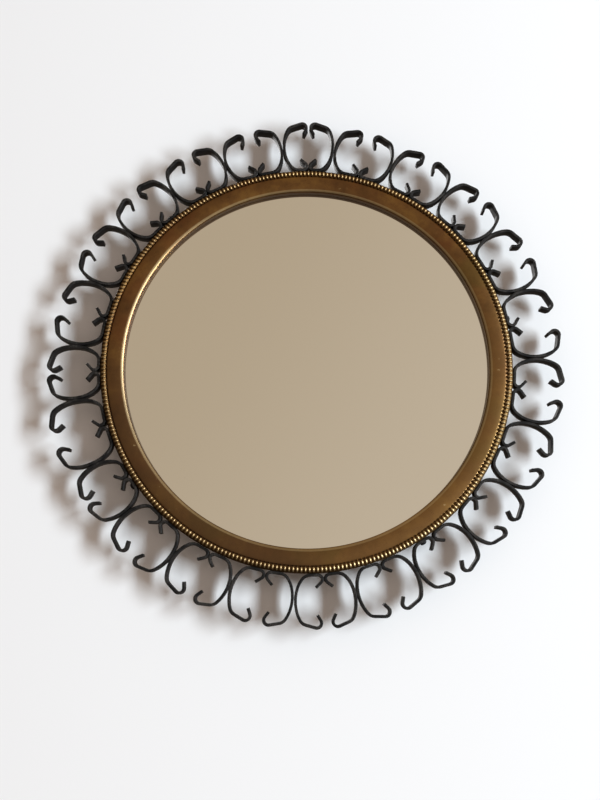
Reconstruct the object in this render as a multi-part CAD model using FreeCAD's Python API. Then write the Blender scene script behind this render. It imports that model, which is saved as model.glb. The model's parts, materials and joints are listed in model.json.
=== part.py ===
import FreeCAD, Part
import cmath
import math
import os

# Round wall mirror: a pressed brass ring round a recessed glass, bordered by petals bent from iron strip.
# Millimetres and degrees. The wall is the plane y = 0, the front looks along -Y, +Z is up and +X is to the
# right as seen from the front. Depths are counted forwards from the wall, so a depth d lies at y = -d.
# Shapes that lie flat against the wall are drawn as complex numbers: real part across, imaginary part up.

# Brass ring, across its section from the glass outwards
OPENING_RADIUS = 127.3      # visible glass
LIP_SLOPE = 2.9             # width of the sloping lip
BAND_WIDTH = 9.5
BEAD_WIDTH = 2.6            # foot of the raised bed that carries the beads
BEAD_CREST = 1.4            # flat top of that bed
SHOULDER_WIDTH = 1.4        # bed to the outside of the ring's side wall
BRASS_SHEET = 1.0           # thickness of the pressed sheet

# Brass ring, heights in its section
LIP_WALL = 4.0              # short wall from the lip down to the glass
LIP_DROP = 1.6              # height of the sloping lip
BAND_CROWN = 0.4            # the band's middle above its edges
BEAD_RISE = 1.7             # crest of the bed above the edge of the band
SHOULDER_DROP = 0.7         # edge of the band down to the top of the side wall

# Glass, board and the tabs that hold them
GLASS_OVERLAP = 6.7         # edge of the glass behind the lip
GLASS_THICKNESS = 3.0
BOARD_THICKNESS = 3.0
EDGE_PLAY = 0.2             # room between the glass edge and a tab
TAB_COUNT = 8
TAB_SHEET = 0.8
TAB_WIDTH = 10.0
TAB_FOOT = 7.0              # how far a tab reaches over the board

# Border of scrolls, each bent from one strip
PETAL_COUNT = 23
STRIP_THICKNESS = 2.0
STRIP_WIDTH = 8.0
STRIP_SETBACK = 0.1         # strips' front edges behind the top of the ring's side wall
SEAT_GAP = 0.1              # between a scroll's base and the ring
WELD_GAP = 0.1              # between scrolls that meet
FLAT_SAG = 0.25             # a bend is a run of short flats that leave its arc by no more than this
LEAF_LENGTH = 4.8
LEAF_RISE = 40.0            # slope of a leaf above the base
CURL_RADIUS = 2.9
CORNER_RADIUS = 7.0
CORNER_TURN = 52.0
LOWER_SIDE_RADIUS = 22.0
SIDE_RUN = 0.3              # straight stretch where two petals meet
UPPER_SIDE_RADIUS = 26.0
SHOULDER_RADIUS = 6.0
SHOULDER_TURN = 46.0
TOP_RISE = 20.0             # slope of a petal's top towards its middle
HOOK_RADIUS = 3.2
HOOK_TURN = 138.0
HOOK_END = 4.2
HOOK_GAP = 1.0              # between the two hooks that come closest

# Petals that were set by hand wider or narrower than the others, or bent taller with more straight side,
# counted clockwise from the one at the top
UNEVEN_PETALS = {0: -2.4, 4: 1.0, 5: 2.3, 6: 1.0, 7: 0.8, 11: -0.6, 15: -1.4, 16: 1.2, 17: -1.8, 18: 1.2}
TALLER_PETALS = {0: 2.6, 1: 0.6, 10: 1.0, 11: 0.8, 12: 0.6, 14: 1.0, 16: 2.8, 17: 1.0}

# Screws that hold the border to the ring
SCREWED_SCROLLS = (
    "petal_06_left_scroll",
    "petal_10_right_scroll",
    "petal_16_left_scroll",
    "petal_21_right_scroll",
)
SCREW_OFFSET = 7.0          # screw from the middle of its petal
SCREW_RADIUS = 1.5
SCREW_HEAD_RADIUS = 2.3
SCREW_HEAD_RIM = 0.6        # straight side of the head
SCREW_HEAD_HEIGHT = 1.7
SCREW_CROWN_RADIUS = 1.2    # flat middle of the domed head
SCREW_PLAY = 0.1            # radial, in the scroll and the ring
SCREW_TIP = 1.0             # screw beyond its nut
NUT_ACROSS_FLATS = 5.5
NUT_HEIGHT = 2.4
NUT_PLAY = 0.05             # radial, and between the nut and the wall behind it
ROUND_SIDES = 10            # flat sides of a screw or of its hole
NUT_SIDES = 6

# Hanger on the board
HANGER_INSET = 34.0         # swing axis below the top of the board
WALL_ROOM = 0.7             # curled end of the strap to the wall
STRAP_SHEET = 0.8
STRAP_WIDTH = 10.0
STRAP_LIFT = 0.3            # the curled end stands this far off the board
STRAP_END = 5.0             # lower screw to the end of the strap
HANGER_SCREW_PITCH = 6.5
HANGER_SCREW_ROOM = 2.3     # hanging ring to the upper screw's head
HANGER_SCREW_RADIUS = 1.0
HANGER_SCREW_HEAD_RADIUS = 2.2
HANGER_SCREW_HEAD_HEIGHT = 1.0
HANGER_SCREW_CROWN_RADIUS = 1.5
HANGER_SCREW_STOP = 0.6     # board left in front of a screw's tip
HANGER_SCREW_PLAY = 0.05
RING_WIRE_RADIUS = 1.0
RING_WIRE_SIDES = 8
RING_PLAY = 0.05            # radial, in the curled end
RING_SIDE_PLAY = 1.5        # curled end to the ring's corners
RING_CORNER_RADIUS = 1.5
RING_LEG = 1.5

# Radii that follow, from the glass outwards
band_inner = OPENING_RADIUS + LIP_SLOPE
bead_inner = band_inner + BAND_WIDTH
bead_outer = bead_inner + BEAD_WIDTH
skirt_radius = bead_outer + SHOULDER_WIDTH
skirt_inner = skirt_radius - BRASS_SHEET
glass_radius = OPENING_RADIUS + GLASS_OVERLAP
base_radius = skirt_radius + SEAT_GAP + STRIP_THICKNESS / 2

# Depths that follow, from the wall forwards
curl_outer = RING_WIRE_RADIUS + RING_PLAY + STRAP_SHEET
swing_depth = WALL_ROOM + curl_outer
board_back = swing_depth + curl_outer + STRAP_LIFT
board_front = board_back + BOARD_THICKNESS
glass_front = board_front + GLASS_THICKNESS
lip_edge = glass_front + LIP_WALL
band_edge = lip_edge + LIP_DROP
band_under = band_edge - BRASS_SHEET
bead_top = band_edge + BEAD_RISE
wall_top = band_edge - SHOULDER_DROP
strip_back = wall_top - STRIP_SETBACK - STRIP_WIDTH
screw_depth = strip_back + STRIP_WIDTH / 2

# Heights of the hanger that follow, the screws and the strap's end downwards from the swing axis
hanger_height = glass_radius - HANGER_INSET
ring_bow = STRAP_WIDTH / 2 + RING_SIDE_PLAY + RING_CORNER_RADIUS
ring_drop = RING_CORNER_RADIUS + RING_LEG + ring_bow + RING_WIRE_RADIUS
upper_screw_drop = ring_drop + HANGER_SCREW_ROOM + HANGER_SCREW_HEAD_RADIUS
hanger_screw_drops = (upper_screw_drop, upper_screw_drop + HANGER_SCREW_PITCH)
strap_length = hanger_screw_drops[-1] + STRAP_END

HANDS = ("left", "right")
ACROSS = FreeCAD.Vector(1, 0, 0)
TOWARDS_FRONT = FreeCAD.Vector(0, -1, 0)


def direction(angle):
    """Unit vector at an angle counted anticlockwise from straight across."""
    return cmath.rect(1.0, math.radians(angle))


def along(vector, unit):
    """How far a vector reaches along a unit vector."""
    return (vector * unit.conjugate()).real


def at_depth(point, depth):
    """Point of the model for a flat point at a depth."""
    return FreeCAD.Vector(point.real, -depth, point.imag)


def flat_face(points):
    """Flat face with the given corners."""
    return Part.Face(Part.makePolygon(points + points[:1]))


def plate(corners, back, thickness):
    """Flat piece with the given corners, from a depth forwards."""
    return flat_face([at_depth(corner, back) for corner in corners]).extrude(TOWARDS_FRONT * thickness)


def disc(back, thickness):
    """Round plate the size of the glass, from a depth forwards."""
    return Part.makeCylinder(glass_radius, thickness, at_depth(0j, back), TOWARDS_FRONT)


def skinned(sections, ends):
    """Solid whose flat sides join each many-sided section to the next, closed by the end faces."""
    faces = list(ends)
    for near, far in zip(sections, sections[1:]):
        for side in range(len(near)):
            faces.append(flat_face([near[side - 1], far[side - 1], far[side], near[side]]))
    solid = Part.Solid(Part.Shell(faces))
    if solid.Volume < 0:
        solid.reverse()
    return solid


def turned_bar(start, axis, across, steps, sides=ROUND_SIDES):
    """Small round bar of many flat sides. Its steps are distances along the axis, with the radius at each."""
    spokes = [FreeCAD.Rotation(axis, 360 * side / sides).multVec(across) for side in range(sides)]
    sections = [[start + axis * distance + spoke * radius for spoke in spokes] for distance, radius in steps]
    return skinned(sections, [flat_face(sections[0]), flat_face(sections[-1])])


def radial_bar(unit, steps, sides=ROUND_SIDES):
    """Small bar that points away from the mirror's axis at the border screws' depth."""
    return turned_bar(at_depth(0j, screw_depth), at_depth(unit, 0), TOWARDS_FRONT, steps, sides)


class BentLine:
    """Centre line of a bent strip or wire, kept as the corners between its flats."""

    def __init__(self, start, heading):
        self.point = start
        self.heading = heading
        self.corners = [start]

    def run(self, length):
        """Go straight on."""
        self.point += length * direction(self.heading)
        return self

    def bend(self, radius, turn):
        """Turn left in equal flats that touch an arc of this radius."""
        widest_step = 2 * math.degrees(math.acos(radius / (radius + FLAT_SAG)))
        flats = math.ceil(turn / widest_step)
        step = turn / flats
        half_flat = radius * math.tan(math.radians(step / 2))
        for _ in range(flats):
            self.run(half_flat)
            self.corners.append(self.point)
            self.heading += step
            self.run(half_flat)
        return self

    def ended(self):
        """Corners of the whole line, with its end."""
        return self.corners + [self.point]


def bend_shift(heading, radius, turn):
    """Straight move from the start of a left bend to its end."""
    return radius * (direction(heading + 90) - direction(heading + turn + 90))


def mitre(before, corner, after):
    """Vector from a corner to the line that runs one unit to the left of both its flats."""
    left_before = 1j * (corner - before) / abs(corner - before)
    left_after = 1j * (after - corner) / abs(after - corner)
    middle = left_before + left_after
    return middle / along(middle, left_before)


def strip_outline(corners, thickness):
    """Outline of a strip of even thickness along a centre line, with square ends."""
    first = 2 * corners[0] - corners[1]
    last = 2 * corners[-1] - corners[-2]
    line = [first] + corners + [last]
    offsets = [mitre(*line[i:i + 3]) * thickness / 2 for i in range(len(corners))]
    left = [corner + offset for corner, offset in zip(corners, offsets)]
    right = [corner - offset for corner, offset in zip(corners, offsets)]
    return left + right[::-1]


# A petal's middle is the imaginary axis. These belong to its right-hand scroll, mirrored by the left-hand one.
weld_offset = (WELD_GAP + STRIP_THICKNESS) / 2
base_lean = math.degrees(math.asin(SCREW_OFFSET / base_radius))
base_up = direction(90 - base_lean)
curl_across = weld_offset + CURL_RADIUS
curl_centre = complex(curl_across, (base_radius + CURL_RADIUS - curl_across * base_up.real) / base_up.imag)
base_start = curl_centre - CURL_RADIUS * base_up
leaf_heading = 180.0 + LEAF_RISE
leaf_end = curl_centre - CURL_RADIUS * direction(leaf_heading + 90)
leaf_tip = leaf_end - LEAF_LENGTH * direction(leaf_heading)
top_heading = 180.0 - TOP_RISE


def side_turns(half_angle):
    """Turns of the lower and the upper side of a scroll, below and above where two petals meet."""
    lower = 90 - half_angle + base_lean - CORNER_TURN
    upper = top_heading - 90 + half_angle - SHOULDER_TURN
    return lower, upper


def side_shift(half_angle):
    """Move from the end of the straight base to where two petals meet."""
    lower, _ = side_turns(half_angle)
    shift = bend_shift(-base_lean, CORNER_RADIUS, CORNER_TURN)
    return shift + bend_shift(CORNER_TURN - base_lean, LOWER_SIDE_RADIUS, lower)


def hook_shift(half_angle, side_run):
    """Move from where two petals meet to the middle of the hook's bend, without the straight top."""
    _, upper = side_turns(half_angle)
    side_heading = 90 - half_angle
    shift = side_run * direction(side_heading)
    shift += bend_shift(side_heading, UPPER_SIDE_RADIUS, upper)
    shift += bend_shift(side_heading + upper, SHOULDER_RADIUS, SHOULDER_TURN)
    return shift + HOOK_RADIUS * direction(top_heading + 90)


def base_run(half_angle):
    """Length of the straight base that brings the side of a scroll to where two petals meet."""
    outward = direction(-half_angle)
    foot = base_start + side_shift(half_angle)
    return (-weld_offset - along(foot, outward)) / along(direction(-base_lean), outward)


def longest_top_run(half_angle, side_run):
    """Length of the straight top that leaves just the hook gap in a petal."""
    hook_across = HOOK_GAP / 2 + STRIP_THICKNESS / 2 + HOOK_RADIUS
    reached = base_start + base_run(half_angle) * direction(-base_lean)
    reached += side_shift(half_angle) + hook_shift(half_angle, side_run)
    return (hook_across - reached.real) / direction(top_heading).real


def scroll_corners(half_angle, side_run, top_run):
    """Centre line of a right-hand scroll, from its leaf tip to the end of its hook."""
    lower, upper = side_turns(half_angle)
    line = BentLine(leaf_tip, leaf_heading)
    line.run(LEAF_LENGTH).bend(CURL_RADIUS, 90 - LEAF_RISE).bend(CURL_RADIUS, 90 - base_lean)
    line.run(base_run(half_angle)).bend(CORNER_RADIUS, CORNER_TURN).bend(LOWER_SIDE_RADIUS, lower)
    line.run(side_run).bend(UPPER_SIDE_RADIUS, upper).bend(SHOULDER_RADIUS, SHOULDER_TURN)
    line.run(top_run).bend(HOOK_RADIUS, HOOK_TURN)
    return line.run(HOOK_END).ended()


def petal_widths():
    """Angle that each petal takes up, clockwise from the top."""
    changes = [UNEVEN_PETALS.get(petal, 0.0) for petal in range(PETAL_COUNT)]
    share = (360 - sum(changes)) / PETAL_COUNT
    return [share + change for change in changes]


def side_runs():
    """Straight side of each petal's scrolls, clockwise from the top."""
    return [SIDE_RUN + TALLER_PETALS.get(petal, 0.0) for petal in range(PETAL_COUNT)]


def petal_middles(widths):
    """Angle from the top, clockwise, to the middle of each petal."""
    return [sum(widths[:petal]) + (widths[petal] - widths[0]) / 2 for petal in range(PETAL_COUNT)]


def scroll_name(petal, hand):
    """Name of a scroll, with the petals counted from one."""
    return f"petal_{petal + 1:02d}_{hand}_scroll"


def placed(point, middle, hand):
    """Move a point of a right-hand scroll to its petal, mirrored for the left hand."""
    own = point if hand == "right" else -point.conjugate()
    return own * direction(-middle)


def scrolls():
    """All scrolls by name, with clearance holes in those that are screwed to the ring."""
    widths = petal_widths()
    runs = side_runs()
    top_run = min(longest_top_run(width / 2, run) for width, run in zip(widths, runs))
    made = {}
    for petal, middle in enumerate(petal_middles(widths)):
        outline = strip_outline(scroll_corners(widths[petal] / 2, runs[petal], top_run), STRIP_THICKNESS)
        for hand in HANDS:
            corners = [placed(corner, middle, hand) for corner in outline]
            scroll = plate(corners, strip_back, STRIP_WIDTH)
            name = scroll_name(petal, hand)
            if name in SCREWED_SCROLLS:
                scroll = scroll.cut(screw_hole(placed(base_up, middle, hand)))
            made[name] = scroll
    return made


def screw_directions():
    """Direction of each border screw, away from the mirror's axis."""
    middles = petal_middles(petal_widths())
    return [placed(base_up, middle, hand) for petal, middle in enumerate(middles) for hand in HANDS
            if scroll_name(petal, hand) in SCREWED_SCROLLS]


def screw_hole(unit):
    """Clearance for one border screw through a scroll's base and the ring's wall."""
    reach = STRIP_THICKNESS + BRASS_SHEET
    radius = SCREW_RADIUS + SCREW_PLAY
    return radial_bar(unit, [(skirt_radius - reach, radius), (skirt_radius + reach, radius)])


def nut_faces():
    """Distances of a nut's two faces from the mirror's axis, its corners clear of the ring's curved wall."""
    outer = math.sqrt(skirt_inner ** 2 - nut_corner_radius() ** 2) - NUT_PLAY
    return outer - NUT_HEIGHT, outer


def nut_corner_radius():
    """Middle of a nut to one of its corners."""
    return NUT_ACROSS_FLATS / 2 / math.cos(math.pi / NUT_SIDES)


def border_nut(unit):
    """Hexagon nut against the inside of the ring's wall."""
    body = radial_bar(unit, [(face, nut_corner_radius()) for face in nut_faces()], NUT_SIDES)
    return body.cut(radial_bar(unit, [(face, SCREW_RADIUS + NUT_PLAY) for face in nut_faces()]))


def border_screw(unit):
    """Round-headed screw with its head on a scroll's base, inside the petal."""
    head_seat = base_radius + STRIP_THICKNESS / 2
    tip = nut_faces()[0] - SCREW_TIP
    return radial_bar(unit, [
        (tip, SCREW_RADIUS),
        (head_seat, SCREW_RADIUS),
        (head_seat, SCREW_HEAD_RADIUS),
        (head_seat + SCREW_HEAD_RIM, SCREW_HEAD_RADIUS),
        (head_seat + SCREW_HEAD_HEIGHT, SCREW_CROWN_RADIUS),
    ])


def brass_ring():
    """Pressed ring: side wall, bed of the beads, crowned band, sloping lip and the seat of the glass."""
    bed_flank = (BEAD_WIDTH - BEAD_CREST) / 2
    ridge = complex(band_inner, band_edge)
    lip = complex(OPENING_RADIUS, lip_edge)
    glass_seat = complex(OPENING_RADIUS, glass_front)
    outside = [
        complex(skirt_radius, 0),
        complex(skirt_radius, wall_top),
        complex(bead_outer, band_edge),
        complex(bead_outer - bed_flank, bead_top),
        complex(bead_inner + bed_flank, bead_top),
        complex(bead_inner, band_edge),
    ]
    inside = [
        ridge,
        lip,
        glass_seat,
        glass_seat + BRASS_SHEET,
        lip + BRASS_SHEET * mitre(ridge, lip, glass_seat),
        ridge + BRASS_SHEET * mitre(outside[-1], ridge, lip),
        complex(skirt_inner, band_under),
        complex(skirt_inner, 0),
    ]
    crown = (outside[-1] + ridge) / 2 + 1j * BAND_CROWN
    band = Part.Arc(*[section_point(point) for point in (outside[-1], crown, ridge)])
    edges = section_edges(outside) + [band.toShape()] + section_edges(inside + outside[:1])
    ring = Part.Face(Part.Wire(edges)).revolve(FreeCAD.Vector(), TOWARDS_FRONT, 360)
    return ring.cut([screw_hole(unit) for unit in screw_directions()])


def section_point(corner):
    """Point of the ring's section, drawn with radius and depth as one complex number."""
    return at_depth(complex(corner.real, 0), corner.imag)


def section_edges(corners):
    """Straight edges of the ring's section from corner to corner."""
    points = [section_point(corner) for corner in corners]
    return [Part.makeLine(near, far) for near, far in zip(points, points[1:])]


def retaining_tab(angle):
    """Brass tab under the band, beside the edge of the glass and bent over the board."""
    leg_inner = glass_radius + EDGE_PLAY
    leg_outer = leg_inner + TAB_SHEET
    foot_tip = glass_radius - TAB_FOOT
    foot_back = board_back - TAB_SHEET
    profile = [
        (leg_outer, band_under),
        (leg_outer, foot_back),
        (foot_tip, foot_back),
        (foot_tip, board_back),
        (leg_inner, board_back),
        (leg_inner, band_under),
    ]
    points = [FreeCAD.Vector(radius, -depth, -TAB_WIDTH / 2) for radius, depth in profile]
    tab = flat_face(points).extrude(FreeCAD.Vector(0, 0, TAB_WIDTH))
    tab.rotate(FreeCAD.Vector(), TOWARDS_FRONT, angle)
    return tab


def retaining_tabs():
    """All tabs, evenly spaced, with none behind the hanger."""
    pitch = 360 / TAB_COUNT
    return Part.makeCompound([retaining_tab((tab + 0.5) * pitch) for tab in range(TAB_COUNT)])


def hanger_bar(drop, steps):
    """Small bar from the back of the strap forwards, at a distance below the swing axis."""
    seat = at_depth(complex(0, hanger_height - drop), board_back - STRAP_SHEET)
    return turned_bar(seat, TOWARDS_FRONT, ACROSS, steps)


def hanger_screw_holes():
    """Holes for the hanger's screws, through the strap and into the board."""
    radius = HANGER_SCREW_RADIUS + HANGER_SCREW_PLAY
    reach = STRAP_SHEET + BOARD_THICKNESS - HANGER_SCREW_STOP
    return [hanger_bar(drop, [(0, radius), (reach, radius)]) for drop in hanger_screw_drops]


def hanger_screws():
    """Short screws with flat round heads, from behind through the strap into the board."""
    steps = [
        (-HANGER_SCREW_HEAD_HEIGHT, HANGER_SCREW_CROWN_RADIUS),
        (0, HANGER_SCREW_HEAD_RADIUS),
        (0, HANGER_SCREW_RADIUS),
        (STRAP_SHEET + BOARD_THICKNESS - HANGER_SCREW_STOP, HANGER_SCREW_RADIUS),
    ]
    return Part.makeCompound([hanger_bar(drop, steps) for drop in hanger_screw_drops])


def hanger_strap():
    """Strap on the board whose upper end is curled round the hanging ring's straight bar."""
    left = -STRAP_WIDTH / 2
    swing_start = FreeCAD.Vector(left, -swing_depth, hanger_height)
    curl = Part.makeCylinder(curl_outer, STRAP_WIDTH, swing_start, ACROSS)
    leaf_corner = FreeCAD.Vector(left, -board_back, hanger_height - strap_length)
    leaf = Part.makeBox(STRAP_WIDTH, STRAP_SHEET, strap_length, leaf_corner)
    bore = Part.makeCylinder(RING_WIRE_RADIUS + RING_PLAY, STRAP_WIDTH, swing_start, ACROSS)
    return curl.fuse(leaf).cut([bore] + hanger_screw_holes()).removeSplitter()


def hanging_ring():
    """D-shaped wire ring that hangs from its straight bar."""
    half_bar = ring_bow - RING_CORNER_RADIUS
    line = BentLine(complex(0, hanger_height), 180.0)
    line.run(half_bar).bend(RING_CORNER_RADIUS, 90).run(RING_LEG)
    line.bend(ring_bow, 180).run(RING_LEG).bend(RING_CORNER_RADIUS, 90)
    return closed_wire(line.corners[1:])


def closed_wire(corners):
    """Closed ring of wire round the given corners, with a regular many-sided section."""
    turns = [direction(360 * side / RING_WIRE_SIDES) for side in range(RING_WIRE_SIDES)]
    sections = []
    for before, corner, after in zip(corners[-1:] + corners[:-1], corners, corners[1:] + corners[:1]):
        spoke = mitre(before, corner, after) * RING_WIRE_RADIUS
        sections.append([at_depth(corner + spoke * turn.real, swing_depth + RING_WIRE_RADIUS * turn.imag)
                         for turn in turns])
    return skinned(sections + sections[:1], [])


def mirror_parts():
    """Every piece of the mirror by name."""
    parts = {
        "brass_frame": brass_ring(),
        "mirror_glass": disc(board_front, GLASS_THICKNESS),
        "backing_board": disc(board_back, BOARD_THICKNESS).cut(hanger_screw_holes()),
        "retaining_tabs": retaining_tabs(),
        "border_screws": Part.makeCompound([border_screw(unit) for unit in screw_directions()]),
        "border_nuts": Part.makeCompound([border_nut(unit) for unit in screw_directions()]),
        "hanger_strap": hanger_strap(),
        "hanger_screws": hanger_screws(),
        "hanging_ring": hanging_ring(),
    }
    parts.update(scrolls())
    return parts


os.makedirs("parts", exist_ok=True)
for name, shape in mirror_parts().items():
    shape.exportStep(f"parts/{name}.step")
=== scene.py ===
"""Looks of a round wall mirror: silvered glass in a beaded brass ring, with a border of bent iron petals."""
import cmath
import json
import logging
import math
from collections.abc import Callable
from dataclasses import dataclass
from enum import Enum
from typing import TypeAlias

import bmesh
import bpy
from mathutils import Matrix, Quaternion, Vector


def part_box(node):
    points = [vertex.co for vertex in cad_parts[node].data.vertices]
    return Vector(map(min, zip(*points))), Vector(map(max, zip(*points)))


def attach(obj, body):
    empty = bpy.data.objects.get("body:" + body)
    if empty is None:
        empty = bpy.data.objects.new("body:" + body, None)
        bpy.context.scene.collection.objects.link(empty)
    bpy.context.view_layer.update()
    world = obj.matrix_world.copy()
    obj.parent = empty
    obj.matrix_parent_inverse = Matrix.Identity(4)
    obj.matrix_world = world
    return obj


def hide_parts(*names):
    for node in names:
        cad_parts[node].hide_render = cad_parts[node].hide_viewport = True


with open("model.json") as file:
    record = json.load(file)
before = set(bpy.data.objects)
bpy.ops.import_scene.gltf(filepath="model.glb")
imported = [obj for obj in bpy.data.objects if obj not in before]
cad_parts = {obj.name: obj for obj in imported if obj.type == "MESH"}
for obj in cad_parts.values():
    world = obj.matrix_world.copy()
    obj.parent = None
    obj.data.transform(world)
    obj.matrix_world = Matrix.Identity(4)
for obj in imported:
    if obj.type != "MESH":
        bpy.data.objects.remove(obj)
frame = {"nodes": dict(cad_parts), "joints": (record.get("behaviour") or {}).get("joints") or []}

MM = 0.001
FULL_TURN = 2 * math.pi
SAME_POINT = 1e-7
SAME_CORNER = 1e-6
NOISE_MIDDLE = 0.5
LOG = logging.getLogger("mirror")

Colour: TypeAlias = tuple[float, float, float, float]
Value: TypeAlias = "float | int | tuple | Socket"


class Body(Enum):
    """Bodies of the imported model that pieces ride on."""

    MIRROR = "mirror"
    RING = "ring"


class Slot(Enum):
    """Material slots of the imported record."""

    BRASS = "aged_brass"
    GLASS = "mirror_glass"
    BOARD = "hardboard"
    IRON = "black_iron"
    STEEL = "steel"


class Cut(Enum):
    """What is left of a mesh that another one cuts."""

    OUTSIDE = "DIFFERENCE"
    SHARED = "INTERSECT"


class Ray(Enum):
    """Kinds of ray, by the setting that shows an object to them."""

    CAMERA = "visible_camera"
    DIFFUSE = "visible_diffuse"
    GLOSSY = "visible_glossy"
    TRANSMISSION = "visible_transmission"
    SHADOW = "visible_shadow"


def tone(red: int, green: int, blue: int) -> Colour:
    """Linear colour of a display colour.

    Args:
        red: Red from 0 to 255.
        green: Green from 0 to 255.
        blue: Blue from 0 to 255.

    Returns:
        The colour with full alpha.
    """
    def linear(level: int) -> float:
        """Linear share of one display level, by the sRGB curve."""
        share = level / 255
        return share / 12.92 if share <= 0.04045 else ((share + 0.055) / 1.055) ** 2.4

    return linear(red), linear(green), linear(blue), 1.0


@dataclass(frozen=True)
class Fade:
    """Range along which a mask fades in, downwards where it is swapped, and the mask's largest share."""

    start: float
    full: float
    share: float = 1.0


@dataclass(frozen=True)
class Clouds:
    """Cloudy noise: how many clouds there are to the metre, and how broken they are."""

    scale: float
    detail: float = 4.0
    roughness: float = 0.55


@dataclass(frozen=True)
class Relief:
    """Fine relief of a surface: its strength and its height."""

    strength: float
    height: float


def operators(operation: str) -> tuple[Callable, Callable]:
    """Methods of a Python operator on sockets.

    Args:
        operation: Operation of the Math node that the operator adds.

    Returns:
        The method with the socket first and its reflected form.
    """
    def plain(self: "Socket", other: Value) -> "Socket":
        """Result with the socket first."""
        return self.maths(operation, self, other)

    def reflected(self: "Socket", other: Value) -> "Socket":
        """Result with the socket second."""
        return self.maths(operation, other, self)

    return plain, reflected


@dataclass(frozen=True)
class Socket:
    """Output of a node that takes part in Python arithmetic."""

    graph: "Graph"
    output: bpy.types.NodeSocket

    __add__, __radd__ = operators("ADD")
    __sub__, __rsub__ = operators("SUBTRACT")
    __mul__, __rmul__ = operators("MULTIPLY")
    __truediv__, __rtruediv__ = operators("DIVIDE")
    __pow__, __rpow__ = operators("POWER")

    def maths(self, operation: str, first: Value, second: Value = 0.0) -> "Socket":
        """Adds one Math node."""
        return self.graph.node("ShaderNodeMath", {"operation": operation}, {0: first, 1: second})

    def sine(self) -> "Socket":
        """Sine of an angle in radians."""
        return self.maths("SINE", self)

    def cosine(self) -> "Socket":
        """Cosine of an angle in radians."""
        return self.maths("COSINE", self)

    def angle(self, other: "Socket") -> "Socket":
        """Angle of a point from the second socket's axis towards this one's."""
        return self.maths("ARCTAN2", self, other)

    def diagonal(self, other: "Socket") -> "Socket":
        """Length of the diagonal over two sides."""
        return (self * self + other * other) ** 0.5

    def most(self, other: Value) -> "Socket":
        """The larger of two values."""
        return self.maths("MAXIMUM", self, other)

    def step(self, low: float, high: float) -> "Socket":
        """Smooth step from 0 below the low value to 1 above the high one. Swapped limits fall instead."""
        limits = {"Value": self, "From Min": low, "From Max": high}
        return self.graph.node("ShaderNodeMapRange", {"interpolation_type": "SMOOTHSTEP"}, limits)

    def fade(self, mask: Fade) -> "Socket":
        """Mask that fades in along a range of this value."""
        full = self.step(mask.start, mask.full)
        return full if mask.share == 1.0 else full * mask.share


class Graph:
    """Node tree that is written as calls."""

    def __init__(self, tree: bpy.types.NodeTree) -> None:
        """Starts from an empty tree."""
        self.tree = tree
        self.tree.nodes.clear()

    def node(self, kind: str, settings: dict | None = None, sockets: dict | None = None,
             output: int | str = 0) -> Socket | None:
        """Adds a node, sets it up and joins it.

        Args:
            kind: Type name of the node.
            settings: Properties of the node, set first. The word stops sets a ramp's places and colours.
            sockets: Values or links of its inputs by name or number.
            output: Name or number of the output to go on with.

        Returns:
            That output, or None at a node that ends a tree.
        """
        made = self.tree.nodes.new(kind)
        for name, value in (settings or {}).items():
            if name == "stops":
                self._set_stops(made.color_ramp, value)
            else:
                setattr(made, name, value)
        for name, value in (sockets or {}).items():
            if isinstance(value, Socket):
                self.tree.links.new(value.output, made.inputs[name])
            else:
                made.inputs[name].default_value = value
        return Socket(self, made.outputs[output]) if len(made.outputs) else None

    @staticmethod
    def _set_stops(ramp: bpy.types.ColorRamp, stops: list[tuple[float, Colour]]) -> None:
        """Gives a ramp its places and colours.

        Args:
            ramp: The ramp.
            stops: Each place with its colour.
        """
        while len(ramp.elements) < len(stops):
            ramp.elements.new(1.0)
        for element, (place, colour) in zip(ramp.elements, stops):
            element.position = place
            element.color = colour


class Shader(Graph):
    """Shader tree of a material or of the world, with the nodes that the finishes share."""

    # Numbers of the colour sockets of a Mix node
    MIX_FACTOR, MIX_FIRST, MIX_SECOND, MIX_RESULT = 0, 6, 7, 2

    def point(self) -> Socket:
        """Place on the piece in its own frame, in metres."""
        return self.node("ShaderNodeTexCoord", output="Object")

    def parts(self, vector: Socket) -> list[Socket]:
        """The three coordinates of a vector."""
        split = self.node("ShaderNodeSeparateXYZ", sockets={0: vector}).output.node
        return [Socket(self, output) for output in split.outputs]

    def vector(self, across: Value, deep: Value, up: Value) -> Socket:
        """Vector of three coordinates."""
        return self.node("ShaderNodeCombineXYZ", sockets={0: across, 1: deep, 2: up})

    def noise(self, vector: Socket, clouds: Clouds) -> Socket:
        """Cloudy noise from 0 to 1."""
        sizes = {"Scale": clouds.scale, "Detail": clouds.detail, "Roughness": clouds.roughness}
        return self.node("ShaderNodeTexNoise", {"noise_dimensions": "3D"}, {"Vector": vector, **sizes})

    def mix(self, share: Value, first: Value, second: Value) -> Socket:
        """Colour between two colours."""
        sockets = {self.MIX_FACTOR: share, self.MIX_FIRST: first, self.MIX_SECOND: second}
        return self.node("ShaderNodeMix", {"data_type": "RGBA"}, sockets, self.MIX_RESULT)

    def ramp(self, value: Socket, stops: list[tuple[float, Colour]]) -> Socket:
        """Colour of a value along a ramp."""
        return self.node("ShaderNodeValToRGB", {"stops": stops}, {0: value})

    def bump(self, height: Socket, relief: Relief) -> Socket:
        """Surface normal of a height map."""
        sockets = {"Height": height, "Strength": relief.strength, "Distance": relief.height}
        return self.node("ShaderNodeBump", sockets=sockets)

    def surface(self, sockets: dict) -> None:
        """Ends a material in one Principled shader with these sockets."""
        shader = self.node("ShaderNodeBsdfPrincipled", sockets=sockets)
        self.node("ShaderNodeOutputMaterial", sockets={"Surface": shader})


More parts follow.
